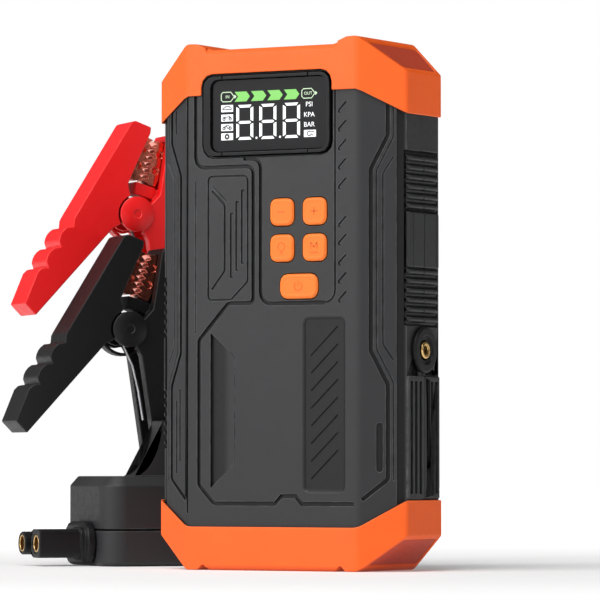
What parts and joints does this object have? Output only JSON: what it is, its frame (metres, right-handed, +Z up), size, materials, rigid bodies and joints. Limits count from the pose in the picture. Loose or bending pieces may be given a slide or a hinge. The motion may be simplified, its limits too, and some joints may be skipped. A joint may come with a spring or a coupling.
{
  "type": "jump starter pack",
  "caption": "Upright portable jump starter with air pump, display and keys, with its loose lead module and sprung battery clamps.",
  "frame": {"origin": "centre of the unit's underside, on the surface it stands on", "axes": "+Z up, -Y out of the front face with the display, +X towards the side with the air outlet"},
  "size_m": [0.2287, 0.1149, 0.2237],
  "materials": {
    "orange_shell": "satin",
    "charcoal_shell": "fine texture",
    "black_trim": "satin",
    "rubber_pad": "matte",
    "key_orange": "satin",
    "display_glass": "gloss",
    "circuit_board": "satin",
    "cell_foil": "satin",
    "steel": "brushed",
    "brass": "polished",
    "copper": "copper plated",
    "aluminium": "cast",
    "gear_nylon": "satin",
    "lamp_clear": "gloss",
    "clamp_red": "satin",
    "clamp_black": "satin"
  },
  "bodies": {
    "unit": {"air_outlet": "brass", "air_pipe": "rubber_pad", "battery_cell_1": "cell_foil", "battery_cell_2": "cell_foil", "battery_cell_3": "cell_foil", "battery_cell_4": "cell_foil", "bottom_cap": "orange_shell", "case_screw_1": "steel", "case_screw_2": "steel", "case_screw_3": "steel", "case_screw_4": "steel", "control_board": "circuit_board", "display_bezel": "black_trim", "display_lens": "display_glass", "display_panel": "circuit_board", "front_shell": "charcoal_shell", "lamp_board": "circuit_board", "lamp_lens": "lamp_clear", "main_board": "circuit_board", "motor_can": "steel", "outlet_boss": "black_trim", "output_socket": "black_trim", "piston_rod": "steel", "pump_cylinder": "aluminium", "pump_frame": "aluminium", "rear_shell": "charcoal_shell", "side_grip_left": "rubber_pad", "side_grip_right": "rubber_pad", "top_cap": "orange_shell", "usb_a_port": "steel", "usb_c_port": "steel"},
    "button_minus_key": {"button_minus": "key_orange"},
    "button_plus_key": {"button_plus": "key_orange"},
    "button_light_key": {"button_light": "key_orange"},
    "button_mode_key": {"button_mode": "key_orange"},
    "button_power_key": {"button_power": "key_orange"},
    "port_cover": {"socket_cover": "rubber_pad"},
    "pump_gear": {"drive_gear": "gear_nylon"},
    "pump_pinion": {"motor_pinion": "brass"},
    "lead_module": {"module_lower": "charcoal_shell", "module_upper": "charcoal_shell", "module_board": "circuit_board", "plug_body": "black_trim", "plug_contact_1": "brass", "plug_contact_2": "brass"},
    "black_clamp": {"black_clamp_fixed_half": "clamp_black", "black_clamp_fixed_jaw": "copper", "black_clamp_pin": "steel", "black_clamp_spring": "steel"},
    "black_clamp_lever": {"black_clamp_moving_half": "clamp_black", "black_clamp_moving_jaw": "copper"},
    "red_clamp": {"red_clamp_fixed_half": "clamp_red", "red_clamp_fixed_jaw": "copper", "red_clamp_pin": "steel", "red_clamp_spring": "steel"},
    "red_clamp_lever": {"red_clamp_moving_half": "clamp_red", "red_clamp_moving_jaw": "copper"}
  },
  "joints": [
    {"name": "button_minus_press", "type": "slide", "parent": "unit", "child": "button_minus_key", "axis": [0, 1, 0], "range_m": [0, 0.0008], "stiffness_N_per_m": 400, "springref_m": -0.0005},
    {"name": "button_plus_press", "type": "slide", "parent": "unit", "child": "button_plus_key", "axis": [0, 1, 0], "range_m": [0, 0.0008], "stiffness_N_per_m": 400, "springref_m": -0.0005},
    {"name": "button_light_press", "type": "slide", "parent": "unit", "child": "button_light_key", "axis": [0, 1, 0], "range_m": [0, 0.0008], "stiffness_N_per_m": 400, "springref_m": -0.0005},
    {"name": "button_mode_press", "type": "slide", "parent": "unit", "child": "button_mode_key", "axis": [0, 1, 0], "range_m": [0, 0.0008], "stiffness_N_per_m": 400, "springref_m": -0.0005},
    {"name": "button_power_press", "type": "slide", "parent": "unit", "child": "button_power_key", "axis": [0, 1, 0], "range_m": [0, 0.0008], "stiffness_N_per_m": 400, "springref_m": -0.0005},
    {"name": "port_cover_swing", "type": "hinge", "parent": "unit", "child": "port_cover", "pos_m": [-0.0601, 0.0125, 0.1505], "axis": [0, 0, -1], "range_deg": [0, 150]},
    {"name": "pump_gear_spin", "type": "hinge", "parent": "unit", "child": "pump_gear", "pos_m": [0.034, 0.012, 0.06125], "axis": [0, 1, 0], "continuous": true},
    {"name": "pump_pinion_spin", "type": "hinge", "parent": "unit", "child": "pump_pinion", "pos_m": [0.034, 0.012, 0.045], "axis": [0, 1, 0], "continuous": true},
    {"name": "module_lift", "type": "slide", "parent": "unit", "child": "lead_module", "axis": [0, 0, 1], "range_m": [0, 0.15]},
    {"name": "black_clamp_lift", "type": "slide", "parent": "lead_module", "child": "black_clamp", "axis": [0, 0, 1], "range_m": [0, 0.1]},
    {"name": "black_clamp_open", "type": "hinge", "parent": "black_clamp", "child": "black_clamp_lever", "pos_m": [-0.1131, 0.03747, 0.1046], "axis": [0.7771, -0.6293, 0], "range_deg": [0, 30], "stiffness_Nm_per_rad": 0.5, "springref_deg": -57.3},
    {"name": "red_clamp_lift", "type": "slide", "parent": "lead_module", "child": "red_clamp", "axis": [0, 0, 1], "range_m": [0, 0.1]},
    {"name": "red_clamp_open", "type": "hinge", "parent": "red_clamp", "child": "red_clamp_lever", "pos_m": [-0.12563, 0.06331, 0.1572], "axis": [0.7771, -0.6293, 0], "range_deg": [0, 30], "stiffness_Nm_per_rad": 0.5, "springref_deg": -57.3}
  ],
  "couplings": [
    {"joint": "pump_pinion_spin", "follows": "pump_gear_spin", "ratio": -3}
  ]
}
